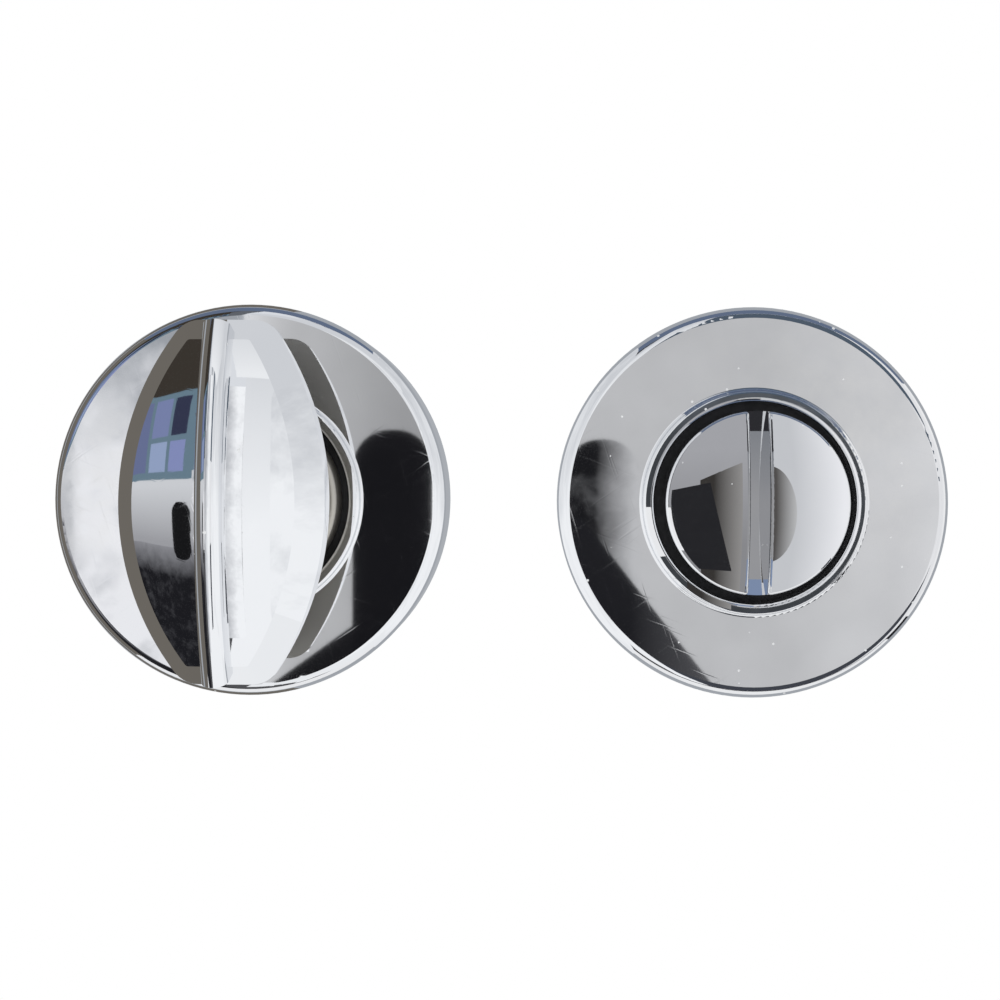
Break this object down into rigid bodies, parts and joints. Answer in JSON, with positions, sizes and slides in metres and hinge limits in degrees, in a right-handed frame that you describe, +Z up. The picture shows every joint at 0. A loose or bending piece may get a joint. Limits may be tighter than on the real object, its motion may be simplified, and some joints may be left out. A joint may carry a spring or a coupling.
{
  "type": "bathroom thumb turn lock",
  "caption": "Polished chrome bathroom turn and release: a leaf-shaped ribbed thumb turn with a square spindle, and a domed coin-slot release, each on a round rose.",
  "frame": {"origin": "centre of the back of the turn's rose, midway between its screw holes, on the door face", "axes": "+Z up the door, -Y out of the door towards the user, +X from the turn to the release"},
  "size_m": [0.1188, 0.0859, 0.052],
  "materials": {
    "turn_cover_chrome": "mirror-polished chrome plate with fine scratches and haze",
    "knob_chrome": "mirror-polished chrome plate",
    "release_cover_chrome": "mirror-polished chrome plate with dust specks",
    "button_chrome": "mirror-polished chrome plate",
    "plate_nylon": "moulded black nylon",
    "bush_acetal": "turned natural acetal",
    "spindle_steel": "drawn steel, zinc plated",
    "spring_steel": "phosphated spring steel",
    "washer_brass": "stamped brass"
  },
  "bodies": {
    "roses": {"turn_rose_cover": "turn_cover_chrome", "turn_base_plate": "plate_nylon", "turn_bearing_bush": "bush_acetal", "release_rose_cover": "release_cover_chrome", "release_base_plate": "plate_nylon", "release_bearing_bush": "bush_acetal"},
    "turn": {"turn_knob": "knob_chrome", "turn_spindle": "spindle_steel", "turn_spindle_pin": "spring_steel", "turn_disc_spring": "spring_steel", "turn_thrust_washer": "washer_brass", "turn_circlip": "spring_steel"},
    "release": {"release_button": "button_chrome", "release_disc_spring": "spring_steel", "release_thrust_washer": "washer_brass", "release_circlip": "spring_steel"}
  },
  "joints": [
    {"name": "turn_hinge", "type": "hinge", "parent": "roses", "child": "turn", "pos_m": [0, 0, 0], "axis": [0, -1, 0], "range_deg": [0, 90]},
    {"name": "release_hinge", "type": "hinge", "parent": "roses", "child": "release", "pos_m": [0.0668, 0, 0], "axis": [0, -1, 0], "range_deg": [0, 90]}
  ]
}
